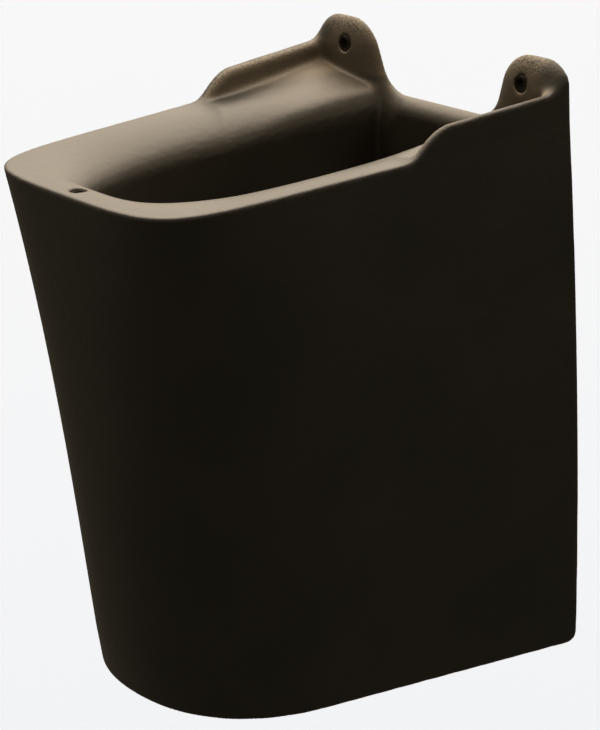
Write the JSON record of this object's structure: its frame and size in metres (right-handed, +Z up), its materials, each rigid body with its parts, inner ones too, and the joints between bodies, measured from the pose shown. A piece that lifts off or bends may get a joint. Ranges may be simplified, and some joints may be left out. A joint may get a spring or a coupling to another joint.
{
  "type": "basin trap shroud",
  "caption": "Wall-hung glazed china shroud that hides a basin's trap: U-shaped shell, dished open top, screw ears and open back.",
  "frame": {"origin": "on the wall face, midway between the two wall-screw holes in the ears", "axes": "+Z up; +Y into the wall, so the front of the shroud faces -Y; X across, symmetric about X = 0"},
  "size_m": [0.269, 0.328, 0.4419],
  "materials": {
    "glazed_china": "gloss black glaze with a warm brown cast",
    "sleeve_plastic": "moulded, matt"
  },
  "bodies": {
    "root": {"china_shroud": "glazed_china", "left_screw_sleeve": "sleeve_plastic", "right_screw_sleeve": "sleeve_plastic", "front_pin_sleeve": "sleeve_plastic"}
  },
  "joints": []
}
